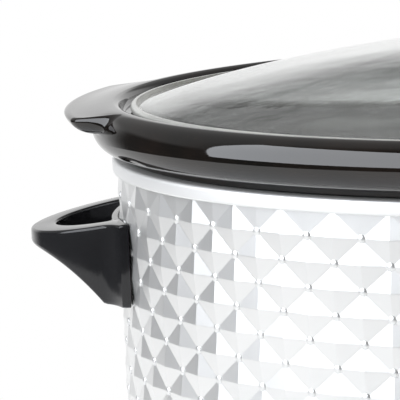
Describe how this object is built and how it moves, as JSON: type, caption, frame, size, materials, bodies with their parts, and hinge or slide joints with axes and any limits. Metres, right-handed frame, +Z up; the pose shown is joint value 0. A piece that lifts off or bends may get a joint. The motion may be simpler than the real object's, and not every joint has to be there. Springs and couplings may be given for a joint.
{
  "type": "slow cooker",
  "caption": "Oval slow cooker: embossed metal heating base with side loop handles and a rotary control, lift-out glazed crock with end lugs, domed glass lid with a knob.",
  "frame": {"origin": "centre of the oval, on the plane that the feet stand on", "axes": "+X to the cooker's right along the oval's long axis, front with the control towards -Y, +Z up"},
  "size_m": [0.394, 0.2872, 0.2419],
  "materials": {
    "wrap": "embossed, bright satin",
    "band": "smooth satin",
    "base_plastic": "fine matte grain",
    "foot_rubber": "matte",
    "well_metal": "plain rolled sheet",
    "heater": "mica board",
    "insulation": "fibre mat",
    "steel": "plated",
    "handle_plastic": "moulded gloss",
    "panel_plastic": "moulded gloss",
    "knob_plastic": "moulded gloss",
    "pointer": "satin paint",
    "switch_ceramic": "unglazed",
    "fuse": "plain",
    "lead_sleeve": "silicone sleeve",
    "gland_rubber": "matte",
    "stoneware": "high-gloss dark glaze",
    "lid_glass": "clear, polished",
    "lid_knob_plastic": "moulded satin gloss",
    "washer_rubber": "matte"
  },
  "bodies": {
    "base": {"housing_shell": "wrap", "rim_band": "band", "base_plate": "base_plastic", "feet": "foot_rubber", "inner_well": "well_metal", "heater_band": "heater", "insulation_sleeve": "insulation", "heat_shield": "well_metal", "centre_stud": "steel", "stud_spacers": "steel", "centre_nut": "steel", "handle_left": "handle_plastic", "handle_right": "handle_plastic", "handle_screws": "steel", "control_panel": "panel_plastic", "panel_screws": "steel", "switch_body": "switch_ceramic", "terminal_block": "switch_ceramic", "thermal_fuse": "fuse", "fuse_clip": "steel", "inner_leads": "lead_sleeve", "cord_gland": "gland_rubber"},
    "control": {"switch_shaft": "steel", "control_knob": "knob_plastic", "knob_pointer": "pointer"},
    "crock": {"crock": "stoneware"},
    "lid": {"lid_glass": "lid_glass", "lid_knob": "lid_knob_plastic", "knob_washer": "washer_rubber", "lid_screw": "steel", "screw_washer": "steel"}
  },
  "joints": [
    {"name": "crock_lift", "type": "slide", "parent": "base", "child": "crock", "axis": [0, 0, 1], "range_m": [0, 0.16]},
    {"name": "lid_lift", "type": "slide", "parent": "crock", "child": "lid", "axis": [0, 0, 1], "range_m": [0, 0.08]},
    {"name": "control_turn", "type": "hinge", "parent": "base", "child": "control", "pos_m": [0, -0.1335, 0.0338], "axis": [0, 1, 0], "range_deg": [0, 270]}
  ]
}
